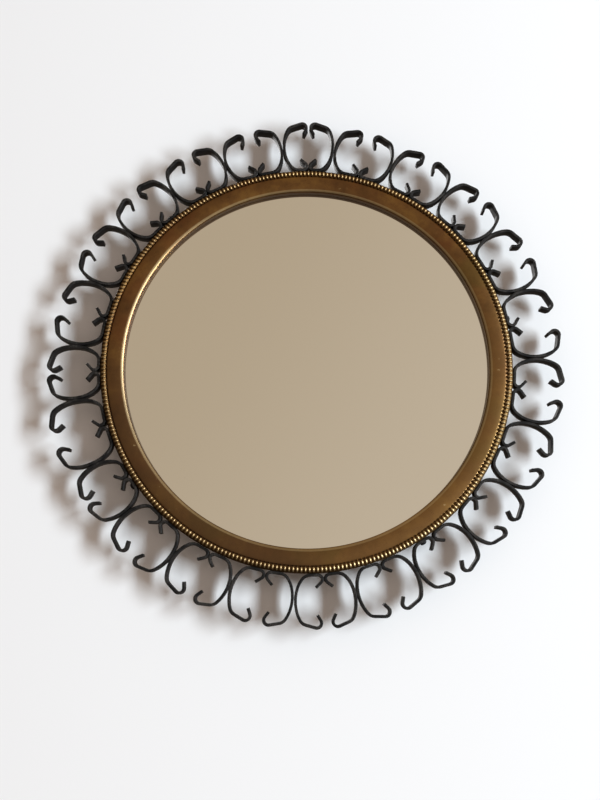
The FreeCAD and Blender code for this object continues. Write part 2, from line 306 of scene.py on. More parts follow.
def new_material(name: str) -> tuple[bpy.types.Material, Shader]:
    """New material and its empty shader tree.

    Args:
        name: Name of the material.

    Returns:
        The material and the tree.
    """
    made = bpy.data.materials.new(name)
    made.use_nodes = True
    return made, Shader(made.node_tree)


def placed(name: str, data: bpy.types.ID) -> bpy.types.Object:
    """New object in the scene.

    Args:
        name: Name of the object.
        data: Its mesh, light or camera.

    Returns:
        The object, at the origin.
    """
    made = bpy.data.objects.new(name, data)
    bpy.context.scene.collection.objects.link(made)
    return made


@dataclass(frozen=True)
class Finish:
    """Common ground of the finishes: a name that no material of the model has, a slot and a shader."""

    name: str
    slot: Slot

    def dress(self, shader: Shader) -> None:
        """Builds the finish in an empty shader tree."""
        raise NotImplementedError

    def material(self) -> bpy.types.Material:
        """Material of this finish, made on first use.

        Returns:
            The material.
        """
        found = bpy.data.materials.get(self.name)
        if found is None:
            found, shader = new_material(self.name)
            self.dress(shader)
        return found


@dataclass(frozen=True)
class AgedBrass(Finish):
    """Browned brass: clouded patina, rubbed bead tops and lip, grime and painted shade in the hollows,
    painted light on the lower right side, painted shade on the lower left side, streaks and nicks.

    Radii are from the mirror's axis, depths from the wall, and angles clockwise from the top.
    """

    name: str = "browned_brass"
    slot: Slot = Slot.BRASS
    brown: Colour = tone(118, 86, 52)
    dark: Colour = tone(94, 67, 43)
    golden: Colour = tone(150, 115, 64)
    red: Colour = tone(114, 70, 44)
    green: Colour = tone(102, 88, 46)
    # Painted light for the lower right side and painted shade for the lower left side
    painted_light_tone: Colour = tone(168, 134, 88)
    dull: Colour = tone(92, 72, 54)
    rubbed: Colour = tone(232, 212, 166)
    # Grime and painted shade in the hollows
    grime_and_shade_tone: Colour = tone(56, 37, 20)

    # Patina, painted light on the lower right side of the ring and painted shade on its lower left side
    clouds: Clouds = Clouds(34.0, 5.0, 0.62)
    spots: Clouds = Clouds(260.0)
    tints: Clouds = Clouds(20.4, 3.0)
    streaks: Clouds = Clouds(1.0, 3.0)
    streaks_round: float = 7.0
    streaks_across: float = 2600.0
    spot_share: float = 0.25
    dark_place: float = 0.3
    brown_place: float = 0.52
    golden_place: float = 0.78
    red_patches: Fade = Fade(0.52, 0.68, 0.55)
    green_patches: Fade = Fade(0.46, 0.34, 0.45)
    painted_lit_angle: float = math.radians(125)
    painted_lit_spread: Fade = Fade(0.25, 0.95)
    painted_lit_share: float = 0.32
    painted_shade_angle: float = math.radians(222)
    painted_shade_spread: Fade = Fade(0.45, 0.98, 0.6)

    # Beads and lip, with the metal that is rubbed bare
    bead_count: int = 324
    groove: float = 139.4 * MM
    lip_edge: float = 127.6 * MM
    soft: float = 0.4 * MM
    bead_radii: Fade = Fade(groove, groove + soft)
    bead_crest: Fade = Fade(-0.1, 0.7)
    bead_depths: Fade = Fade(15.8 * MM, 17.6 * MM)
    bead_gold: float = 0.38
    lip_inner: Fade = Fade(lip_edge, lip_edge + soft)
    lip_outer: Fade = Fade(129.6 * MM, 128.9 * MM)
    nick_clouds: Clouds = Clouds(90.0, 2.0)
    nick_patches: Fade = Fade(0.55, 0.62)
    nick_spots: Fade = Fade(0.66, 0.72)
    bead_wear: float = 0.24
    # Bead tops painted lighter on the lower right side, as painted light
    painted_lit_wear: float = 0.36
    lip_wear: float = 0.28
    nick_wear: float = 0.5
    least_wear: float = 0.6
    cloud_wear: float = 0.6

    # Grime and painted shade in the hollows, on the lip's wall, and on the side wall and back
    bead_gaps: Fade = Fade(0.25, -0.45, 0.4)
    trough_radii: Fade = Fade(groove - soft, groove)
    trough_depths: Fade = Fade(17.2 * MM, 16.3 * MM, 0.6)
    wall_radii: Fade = Fade(lip_edge + 0.6 * MM, lip_edge)
    wall_depths: Fade = Fade(14.5 * MM, 14.0 * MM, 0.7)
    back_depths: Fade = Fade(14.2 * MM, 12.5 * MM, 0.8)
    grime_and_shade_share: float = 0.85

    # Gloss
    metal: float = 0.95
    polish: float = 0.22
    spot_roughness: float = 0.08
    streak_roughness: float = 0.05
    bead_roughness: float = 0.2
    lip_roughness: float = 0.08
    wall_roughness: float = 0.1
    relief: Relief = Relief(0.06, 0.05 * MM)

    def dress(self, shader: Shader) -> None:
        """Builds the finish in an empty shader tree.

        Args:
            shader: The tree.
        """
        place = shader.point()
        across, deep, up = shader.parts(place)
        radius = across.diagonal(up)
        depth = 0.0 - deep
        angle = across.angle(up)
        cloud = shader.noise(place, self.clouds)
        spots = shader.noise(place, self.spots)
        tint = shader.noise(place, self.tints)
        turned = shader.vector(angle * self.streaks_round, radius * self.streaks_across,
                               depth * self.streaks_across)
        streaks = shader.noise(turned, self.streaks)
        # Where the painted light on the lower right and the painted shade on the lower left fall
        painted_lit_side = (angle - self.painted_lit_angle).cosine().fade(self.painted_lit_spread)
        dulled = (angle - self.painted_shade_angle).cosine().fade(self.painted_shade_spread)

        # Patina, with painted light on the lower right side and painted shade on the lower left side
        colour = shader.ramp(cloud + (spots - NOISE_MIDDLE) * self.spot_share, [
            (self.dark_place, self.dark), (self.brown_place, self.brown), (self.golden_place, self.golden)])
        colour = shader.mix(tint.fade(self.red_patches), colour, self.red)
        colour = shader.mix(tint.fade(self.green_patches), colour, self.green)
        colour = shader.mix(painted_lit_side * self.painted_lit_share, colour, self.painted_light_tone)
        colour = shader.mix(dulled, colour, self.dull)

        # Metal rubbed bare, with the bead tops painted lighter still on the lower right side as painted
        # light
        beads = radius.fade(self.bead_radii)
        lobe = (angle * self.bead_count).cosine()
        crest = beads * lobe.fade(self.bead_crest) * depth.fade(self.bead_depths)
        lip = radius.fade(self.lip_inner) * radius.fade(self.lip_outer)
        nicks = spots.fade(self.nick_spots) * shader.noise(place, self.nick_clouds).fade(self.nick_patches)
        worn = crest * (self.bead_wear + painted_lit_side * self.painted_lit_wear)
        worn = worn.most(lip * self.lip_wear).most(nicks * self.nick_wear)
        colour = shader.mix(beads * self.bead_gold, colour, self.golden)
        colour = shader.mix(worn * (self.least_wear + cloud * self.cloud_wear), colour, self.rubbed)

        # Grime and painted shade in the hollows, on the lip's wall, and on the side wall and back
        between = beads * lobe.fade(self.bead_gaps)
        trough = radius.fade(self.trough_radii) * depth.fade(self.trough_depths)
        wall = radius.fade(self.wall_radii) * depth.fade(self.wall_depths)
        grime_and_shade_mask = between.most(trough).most(wall).most(depth.fade(self.back_depths))
        colour = shader.mix(grime_and_shade_mask * self.grime_and_shade_share, colour, self.grime_and_shade_tone)

        roughness = self.polish + spots * self.spot_roughness + streaks * self.streak_roughness
        roughness = roughness + beads * self.bead_roughness + lip * self.lip_roughness
        roughness = roughness + wall * self.wall_roughness
        shader.surface({
            "Base Color": colour,
            "Metallic": self.metal,
            "Roughness": roughness,
            "Normal": shader.bump(streaks + spots, self.relief),
        })


@dataclass(frozen=True)
class BlackIron(Finish):
    """Iron strip under old satin black paint, uneven, thin and a little rubbed along the edges."""

    name: str = "old_black_paint"
    slot: Slot = Slot.IRON
    paint: Colour = tone(11, 11, 13)
    faded: Colour = tone(20, 19, 21)
    rubbed: Colour = tone(58, 55, 52)
    grain: Clouds = Clouds(900.0, 3.0)
    clouds: Clouds = Clouds(120.0)
    faded_patches: Fade = Fade(0.35, 0.7)
    worn_patches: Fade = Fade(0.4, 0.65)
    worn_grain: Fade = Fade(0.35, 0.6, 0.8)
    polish: float = 0.4
    cloud_roughness: float = 0.16
    grain_roughness: float = 0.1
    gloss: float = 0.22
    relief: Relief = Relief(0.25, 0.12 * MM)

    def dress(self, shader: Shader) -> None:
        """Builds the finish in an empty shader tree.

        Args:
            shader: The tree.
        """
        place = shader.point()
        grain = shader.noise(place, self.grain)
        cloud = shader.noise(place, self.clouds)
        edge = shader.node("ShaderNodeAttribute", {"attribute_name": StripTree.EDGE}, output="Fac")
        colour = shader.mix(cloud.fade(self.faded_patches), self.paint, self.faded)
        worn = edge * cloud.fade(self.worn_patches) * grain.fade(self.worn_grain)
        shader.surface({
            "Base Color": shader.mix(worn, colour, self.rubbed),
            "Roughness": self.polish + cloud * self.cloud_roughness + grain * self.grain_roughness,
            "Specular IOR Level": self.gloss,
            "Normal": shader.bump(grain + cloud, self.relief),
        })


@dataclass(frozen=True)
class SilveredGlass(Finish):
    """Mirror glass with a thin veil of dust and old silver that dulls towards the rim."""

    name: str = "silvered_glass"
    slot: Slot = Slot.GLASS
    silver: Colour = tone(243, 241, 236)
    dulled: Colour = tone(196, 186, 168)
    dust: Clouds = Clouds(900.0, 3.0)
    veil: Clouds = Clouds(22.0)
    rim_radii: Fade = Fade(126 * MM, 132 * MM)
    rim_patches: Fade = Fade(0.35, 0.6)
    speck_dust: Fade = Fade(0.7, 0.76)
    speck_patches: Fade = Fade(0.5, 0.62)
    speck_share: float = 0.4
    polish: float = 0.012
    veil_roughness: float = 0.02
    speck_roughness: float = 0.1

    def dress(self, shader: Shader) -> None:
        """Builds the finish in an empty shader tree.

        Args:
            shader: The tree.
        """
        place = shader.point()
        across, _, up = shader.parts(place)
        veil = shader.noise(place, self.veil)
        rim = across.diagonal(up).fade(self.rim_radii) * veil.fade(self.rim_patches)
        specks = shader.noise(place, self.dust).fade(self.speck_dust) * veil.fade(self.speck_patches)
        shader.surface({
            "Base Color": shader.mix(rim.most(specks * self.speck_share), self.silver, self.dulled),
            "Metallic": 1.0,
            "Roughness": self.polish + veil * self.veil_roughness + specks * self.speck_roughness,
        })


@dataclass(frozen=True)
class Hardboard(Finish):
    """Pressed brown board with matted fibres and the fine mesh print of its rough side."""

    name: str = "pressed_board"
    slot: Slot = Slot.BOARD
    light: Colour = tone(142, 104, 68)
    dark: Colour = tone(96, 66, 42)
    fibres: Clouds = Clouds(260.0, 6.0, 0.7)
    fibre_stretch: float = 5.0
    clouds: Clouds = Clouds(28.0)
    mesh_pitch: float = 1.6 * MM
    fibre_share: float = 0.6
    cloud_share: float = 0.5
    mesh_share: float = 0.05
    darkening: float = 0.05
    polish: float = 0.72
    fibre_roughness: float = 0.2
    fibre_height: float = 0.6
    mesh_height: float = 0.4
    relief: Relief = Relief(0.5, 0.15 * MM)

    def dress(self, shader: Shader) -> None:
        """Builds the finish in an empty shader tree.

        Args:
            shader: The tree.
        """
        place = shader.point()
        across, deep, up = shader.parts(place)
        fibres = shader.noise(shader.vector(across, deep, up * self.fibre_stretch), self.fibres)
        cloud = shader.noise(place, self.clouds)
        turns = FULL_TURN / self.mesh_pitch
        mesh = (across * turns).sine() * (up * turns).sine()
        light = fibres * self.fibre_share + cloud * self.cloud_share
        light = light + mesh * self.mesh_share - self.darkening
        shader.surface({
            "Base Color": shader.mix(light, self.dark, self.light),
            "Roughness": self.polish + fibres * self.fibre_roughness,
            "Normal": shader.bump(fibres * self.fibre_height + mesh * self.mesh_height, self.relief),
        })


@dataclass(frozen=True)
class ZincSteel(Finish):
    """Zinc-plated steel, dulled grey with faint spangle and a little rust."""

    name: str = "zinc_steel"
    slot: Slot = Slot.STEEL
    zinc: Colour = tone(176, 176, 172)
    dull: Colour = tone(138, 138, 136)
    rust: Colour = tone(122, 84, 56)
    spangle: Clouds = Clouds(420.0, 3.0)
    clouds: Clouds = Clouds(150.0, 5.0)
    rust_patches: Fade = Fade(0.6, 0.7)
    rust_share: float = 0.7
    rust_cover: float = 0.6
    polish: float = 0.3
    spangle_roughness: float = 0.16
    rust_roughness: float = 0.25
    relief: Relief = Relief(0.1, 0.05 * MM)

    def dress(self, shader: Shader) -> None:
        """Builds the finish in an empty shader tree.

        Args:
            shader: The tree.
        """
        place = shader.point()
        spangle = shader.noise(place, self.spangle)
        rust = shader.noise(place, self.clouds).fade(self.rust_patches)
        colour = shader.mix(spangle, self.dull, self.zinc)
        shader.surface({
            "Base Color": shader.mix(rust * self.rust_share, colour, self.rust),
            "Metallic": 1.0 - rust * self.rust_cover,
            "Roughness": self.polish + spangle * self.spangle_roughness + rust * self.rust_roughness,
            "Normal": shader.bump(spangle, self.relief),
        })


class GeometryTree(Graph):
    """Geometry Nodes tree with named inputs."""

    def __init__(self, name: str) -> None:
        """Starts an empty tree with one geometry output.

        Args:
            name: Name of the tree.
        """
        super().__init__(bpy.data.node_groups.new(name, "GeometryNodeTree"))
        self.tree.interface.new_socket("Geometry", in_out="OUTPUT", socket_type="NodeSocketGeometry")
        self.inputs = self.tree.nodes.new("NodeGroupInput")
        self.identifiers: dict[str, str] = {}

    def field(self, name: str, kind: str) -> Socket:
        """Adds a named input.

        Args:
            name: Name of the input.
            kind: Socket type without its prefix, such as Float.

        Returns:
            The input, to go on with.
        """
        item = self.tree.interface.new_socket(name, in_out="INPUT", socket_type="NodeSocket" + kind)
        self.identifiers[name] = item.identifier
        return Socket(self, self.inputs.outputs[name])

    def circle(self, sides: Socket, radius: Socket) -> Socket:
        """Round section of a number of sides."""
        sizes = {"Resolution": sides, "Radius": radius}
        return self.node("GeometryNodeCurvePrimitiveCircle", {"mode": "RADIUS"}, sizes)

    def attribute(self, name: str) -> Socket:
        """Number that the points carry under a name."""
        return self.node("GeometryNodeInputNamedAttribute", {"data_type": "FLOAT"}, {"Name": name})

    def copies(self, points: Socket, shape: Socket, turn: Socket) -> Socket:
        """Copies of a shape at some points.

        Args:
            points: The points.
            shape: The shape.
            turn: Turn of each copy about the mirror's axis.

        Returns:
            The copies.
        """
        rotation = self.node("ShaderNodeCombineXYZ", sockets={1: turn})
        sockets = {"Points": points, "Instance": shape, "Rotation": rotation}
        return self.node("GeometryNodeInstanceOnPoints", sockets=sockets)

    def finish(self, geometry: Socket, material: Socket) -> None:
        """Ends the tree: real geometry, smooth faces and a material.

        Args:
            geometry: Geometry to end with.
            material: Its material.
        """
        real = self.node("GeometryNodeRealizeInstances", sockets={"Geometry": geometry})
        smooth = self.node("GeometryNodeSetShadeSmooth", sockets={"Geometry": real})
        dressed = self.node("GeometryNodeSetMaterial", sockets={"Geometry": smooth, "Material": material})
        self.node("NodeGroupOutput", sockets={"Geometry": dressed})

    def run(self, start: bpy.types.Mesh, values: dict) -> bpy.types.Mesh:
        """Runs the tree on a mesh.

        Args:
            start: Mesh that the tree begins with. It is used up.
            values: Value of each named input.

        Returns:
            The result as a plain mesh.
        """
        holder = placed("holder", start)
        modifier = holder.modifiers.new("tree", "NODES")
        modifier.node_group = self.tree
        for name, value in values.items():
            modifier[self.identifiers[name]] = value
        ready = holder.evaluated_get(bpy.context.evaluated_depsgraph_get())
        made = bpy.data.meshes.new_from_object(ready)
        holder.modifiers.clear()
        bpy.data.objects.remove(holder)
        bpy.data.meshes.remove(start)
        return made


class StripTree(GeometryTree):
    """Strip of even width and thickness along a bent centre line, with rounded edges marked for wear."""

    EDGE = "edge"
    END_SCALE = "end_scale"
    EDGE_STEPS = 3
    EDGE_SHARE = 0.9

    def __init__(self) -> None:
        """Builds the tree."""
        super().__init__("bent_strip")
        line = self.field("Line", "Geometry")
        width = self.field("Width", "Float")
        thickness = self.field("Thickness", "Float")
        edge = self.field("Edge Radius", "Float")
        material = self.field("Finish", "Material")
        sheet = self.node("GeometryNodeCurvePrimitiveQuadrilateral", {"mode": "RECTANGLE"},
                          {"Width": width, "Height": thickness})
        rounded_sheet = self.node("GeometryNodeFilletCurve", {"mode": "POLY"},
                                  {"Curve": sheet, "Count": self.EDGE_STEPS, "Radius": edge})
        offset = self.node("ShaderNodeSeparateXYZ", sockets={0: self.node("GeometryNodeInputPosition")})
        across = offset.maths("ABSOLUTE", offset)
        on_edge = across.maths("GREATER_THAN", across, width / 2.0 - edge * self.EDGE_SHARE)
        marked = self.node("GeometryNodeStoreNamedAttribute", {"data_type": "FLOAT", "domain": "POINT"},
                           {"Geometry": rounded_sheet, "Name": self.EDGE, "Value": on_edge})
        curve = self.node("GeometryNodeMeshToCurve", sockets={"Mesh": line})
        swept = self.node("GeometryNodeCurveToMesh", sockets={
            "Curve": curve,
            "Profile Curve": marked,
            "Scale": self.attribute(self.END_SCALE),
            "Fill Caps": True,
        })
        self.finish(swept, material)


class WireTree(GeometryTree):
    """Round wire along a closed centre line."""

    def __init__(self) -> None:
        """Builds the tree."""
        super().__init__("bent_wire")
        line = self.field("Line", "Geometry")
        radius = self.field("Wire Radius", "Float")
        sides = self.field("Sides", "Int")
        material = self.field("Finish", "Material")
        curve = self.node("GeometryNodeMeshToCurve", sockets={"Mesh": line})
        swept = self.node("GeometryNodeCurveToMesh",
                          sockets={"Curve": curve, "Profile Curve": self.circle(sides, radius)})
        self.finish(swept, material)


class BeadTree(GeometryTree):
    """Ring of equal beads. Each is a round bar that arches over the ring's edge and tapers to both feet."""

    LEAST_SWELL = 0.03
    SWELL_POWER = 0.42

    def __init__(self) -> None:
        """Builds the tree."""
        super().__init__("bead_row")
        self.field("Start", "Geometry")
        count = self.field("Count", "Int")
        feet = {end: self.field(name, "Vector")
                for end, name in (("Start", "Inner Foot"), ("Middle", "Arch"), ("End", "Outer Foot"))}
        width = self.field("Width", "Float")
        steps = self.field("Steps", "Int")
        sides = self.field("Sides", "Int")
        material = self.field("Finish", "Material")
        path = self.node("GeometryNodeCurveQuadraticBezier", sockets={"Resolution": steps, **feet})
        share = self.node("GeometryNodeSplineParameter", output="Factor")
        # Four times this product is 1 at the top of a bead and 0 at its feet
        swell = (share * (1.0 - share) * 4.0).most(self.LEAST_SWELL) ** self.SWELL_POWER
        bead = self.node("GeometryNodeCurveToMesh", sockets={
            "Curve": path,
            "Profile Curve": self.circle(sides, width / 2.0),
            "Scale": swell,
            "Fill Caps": True,
        })
        turn = self.node("GeometryNodeInputIndex") / count * FULL_TURN
        places = self.node("GeometryNodePoints", sockets={"Count": count})
        self.finish(self.copies(places, bead, turn), material)


class CopiesTree(GeometryTree):
    """Copies of one shape at some places, each with its own turn about the mirror's axis."""

    TURN = "turn"

    def __init__(self) -> None:
        """Builds the tree."""
        super().__init__("placed_copies")
        places = self.field("Places", "Geometry")
        shape = self.field("Shape", "Object")
        material = self.field("Finish", "Material")
        copy = self.node("GeometryNodeObjectInfo", {"transform_space": "ORIGINAL"}, {"Object": shape},
                         "Geometry")
        self.finish(self.copies(places, copy, self.attribute(self.TURN)), material)


@dataclass(frozen=True)
class Workshop:
    """Trees and mesh methods that the sub-assemblies share."""

    strip: StripTree
    wire: WireTree
    beads: BeadTree
    copies: CopiesTree
    sharp_angle: float = math.radians(38)
    round_steps: int = 360

    def line(self, points: list[Vector], closed: bool = False, end_scale: float = 1.0) -> bpy.types.Mesh:
        """Mesh of edges along some points.

        Args:
            points: The points in order.
            closed: Whether the last point joins the first.
            end_scale: Scale of a section at the two ends, against 1 elsewhere.

        Returns:
            The mesh, with the scales as an attribute.
        """
        mesh = bpy.data.meshes.new("line")
        last = len(points) - 1
        edges = [(i, i + 1) for i in range(last)] + ([(last, 0)] if closed else [])
        mesh.from_pydata(points, edges, [])
        scales = [end_scale] + [1.0] * (last - 1) + [end_scale]
        mesh.attributes.new(StripTree.END_SCALE, "FLOAT", "POINT").data.foreach_set("value", scales)
        return mesh

    def turned(self, section: list[complex], steps: int, along: Callable[[float, float, float], Vector],
               closed: bool = False) -> bpy.types.Mesh:
        """Turns a section about an axis.

        Args:
            section: Points with the radius as real part and the distance along the axis as imaginary part.
            steps: Number of steps round the axis.
            along: Place of a point from its radius, distance and angle.
            closed: Whether the section is a loop, or else runs from axis to axis.

        Returns:
            The closed mesh with its faces outwards.
        """
        made = bmesh.new()
        rings = [[made.verts.new(along(p.real, p.imag, FULL_TURN * s / steps)) for s in range(steps)]
                 for p in section]
        pairs = list(zip(rings, rings[1:])) + ([(rings[-1], rings[0])] if closed else [])
        for near, far in pairs:
            for s in range(steps):
                made.faces.new((near[s - 1], near[s], far[s], far[s - 1]))
        bmesh.ops.remove_doubles(made, verts=made.verts, dist=SAME_POINT)
        bmesh.ops.dissolve_degenerate(made, edges=made.edges, dist=SAME_POINT)
        bmesh.ops.recalc_face_normals(made, faces=made.faces)
        return plain_mesh(made, "turned")

    def copies_of(self, shape: bpy.types.Mesh, turns: list[float], finish: Finish,
                  places: list[Vector] | None = None) -> bpy.types.Mesh:
        """Copies a shape to some places.

        Args:
            shape: The shape before it is turned and shifted. It is used up.
            turns: Turn of each copy about the mirror's axis, clockwise.
            finish: Finish of the copies.
            places: Shift of each copy, none by default.

        Returns:
            One mesh of all the copies.
        """
        points = bpy.data.meshes.new("places")
        points.from_pydata(places or [Vector()] * len(turns), [], [])
        points.attributes.new(CopiesTree.TURN, "FLOAT", "POINT").data.foreach_set("value", turns)
        pattern = placed("pattern", shape)
        made = self.copies.run(points, {"Shape": pattern, "Finish": finish.material()})
        bpy.data.objects.remove(pattern)
        bpy.data.meshes.remove(shape)
        return made

    def piece(self, name: str, mesh: bpy.types.Mesh, finish: Finish, node: str,
              body: Body = Body.MIRROR) -> None:
        """Makes a finished piece that rides a body and stands for a node.

        Args:
            name: Name of the piece.
            mesh: Its mesh, in place.
            finish: Its finish.
            node: Node of the model that it stands for.
            body: Body that it rides on.
        """
        mesh.name = name
        mesh.materials.clear()
        mesh.materials.append(finish.material())
        mesh.polygons.foreach_set("use_smooth", [True] * len(mesh.polygons))
        mesh.set_sharp_from_angle(angle=self.sharp_angle)
        made = placed(name, mesh)
        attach(made, body.value)
        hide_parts(node)
        LOG.info("%s: %d faces", name, len(mesh.polygons))


def about_wall_axis(radius: float, depth: float, angle: float) -> Vector:
    """Point at a radius from the mirror's axis, a depth from the wall and a clockwise angle from the top."""
    return Vector((radius * math.sin(angle), -depth, radius * math.cos(angle)))


def about_own_axis(radius: float, distance: float, angle: float) -> Vector:
    """Point of a small round part that stands upright."""
    return Vector((radius * math.cos(angle), radius * math.sin(angle), distance))


def rounded(corners: list[complex], radius: float, closed: bool = False,
            widest_step: float = math.radians(9)) -> list[complex]:
    """Line through corners, each rounded as far as its two sides allow.

    Args:
        corners: The corners in order.
        radius: Largest radius of a rounded corner.
        closed: Whether the line is a loop, or else starts and ends at its first and last corners.
        widest_step: Widest turn from one point to the next.

    Returns:
        Points along the rounded line.
    """
    count = len(corners)
    line = []
    for i, corner in enumerate(corners):
        if not closed and i in (0, count - 1):
            line.append(corner)
            continue
        back, ahead = corners[i - 1] - corner, corners[(i + 1) % count] - corner
        turn = math.pi - abs(cmath.phase(ahead / back))
        reach = min(abs(back) / 2, abs(ahead) / 2, radius * math.tan(turn / 2))
        start, end = corner + back / abs(back) * reach, corner + ahead / abs(ahead) * reach
        steps = max(1, math.ceil(turn / widest_step))
        for step in range(steps + 1):
            share = step / steps
            line.append((1 - share) ** 2 * start + 2 * share * (1 - share) * corner + share ** 2 * end)
    return [point for i, point in enumerate(line) if i == 0 or abs(point - line[i - 1]) > SAME_POINT]


def plain_mesh(made: bmesh.types.BMesh, name: str) -> bpy.types.Mesh:
    """Turns a bmesh into a mesh.

    Args:
        made: The bmesh. It is used up.
        name: Name of the mesh.

    Returns:
        The mesh.
    """
    mesh = bpy.data.meshes.new(name)
    made.to_mesh(mesh)
    made.free()
    return mesh


def joined(node: str) -> bmesh.types.BMesh:
    """Copy of a node's mesh with its loose triangles joined.

    Args:
        node: Name of the node.

    Returns:
        The copy.
    """
    made = bmesh.new()
    made.from_mesh(frame["nodes"][node].data)
    bmesh.ops.remove_doubles(made, verts=made.verts, dist=SAME_CORNER)
    return made


@dataclass(frozen=True)
class Solid:
    """One separate solid of a node, known by its corners."""

    corners: list[Vector]

    def middle(self) -> Vector:
        """Mean of its corners."""
        return sum(self.corners, Vector()) / len(self.corners)

    def turn(self) -> float:
        """Angle of its middle about the mirror's axis, clockwise from the top."""
        middle = self.middle()
        return math.atan2(middle.x, middle.z)

    def reach(self, direction: Vector) -> tuple[float, float]:
        """Least and largest distance of its corners along a direction."""
        distances = [corner.dot(direction) for corner in self.corners]
        return min(distances), max(distances)

    def heights(self) -> tuple[float, float]:
        """Least and largest distance of its corners away from the mirror's axis."""
        return self.reach(about_wall_axis(1.0, 0.0, self.turn()))

    def width(self) -> float:
        """Its size along the mirror's circles."""
        low, high = self.reach(about_wall_axis(1.0, 0.0, self.turn() + math.pi / 2))
        return high - low


def solids(node: str) -> list[Solid]:
    """Separate solids of a node.

    Args:
        node: Name of the node.

    Returns:
        The solids.
    """
    merged = joined(node)
    left = dict.fromkeys(merged.verts)
    found = []
    while left:
        reached = [left.popitem()[0]]
        corners = []
        while reached:
            corner = reached.pop()
            corners.append(corner.co.copy())
            near = [edge.other_vert(corner) for edge in corner.link_edges]
            for other in (vert for vert in near if vert in left):
                del left[other]
                reached.append(other)
        found.append(Solid(corners))
    merged.free()
    return found


def turns_of(node: str) -> list[float]:
    """Angle of each solid of a node about the mirror's axis, clockwise from the top."""
    return sorted(solid.turn() for solid in solids(node))


def cut_away(mesh: bpy.types.Mesh, tool: bpy.types.Mesh, cut: Cut = Cut.OUTSIDE) -> bpy.types.Mesh:
    """Cuts one mesh by another.

    Args:
        mesh: Mesh to cut. It is used up.
        tool: Mesh that cuts. It is used up.
        cut: What is left of the mesh.

    Returns:
        The mesh that is left.
    """
    work, cutter = placed("work", mesh), placed("cutter", tool)
    modifier = work.modifiers.new("cut", "BOOLEAN")
    modifier.operation = cut.value
    modifier.solver = "EXACT"
    modifier.object = cutter
    made = bpy.data.meshes.new_from_object(work.evaluated_get(bpy.context.evaluated_depsgraph_get()))
    for item, used in ((work, mesh), (cutter, tool)):
        bpy.data.objects.remove(item)
        bpy.data.meshes.remove(used)
    return made


def block(size: Vector, middle: Vector) -> bpy.types.Mesh:
    """Box that cuts a slot.

    Args:
        size: Its three sides.
        middle: Its middle.

    Returns:
        The mesh.
    """
    made = bmesh.new()
    bmesh.ops.create_cube(made, size=1.0, matrix=Matrix.Translation(middle) @ Matrix.Diagonal((*size, 1.0)))
    return plain_mesh(made, "block")


@dataclass
class Assembly:
    """Common ground of the sub-assemblies: the workshop that makes their pieces."""

    shop: Workshop

    def build(self) -> None:
        """Builds the pieces."""
        raise NotImplementedError


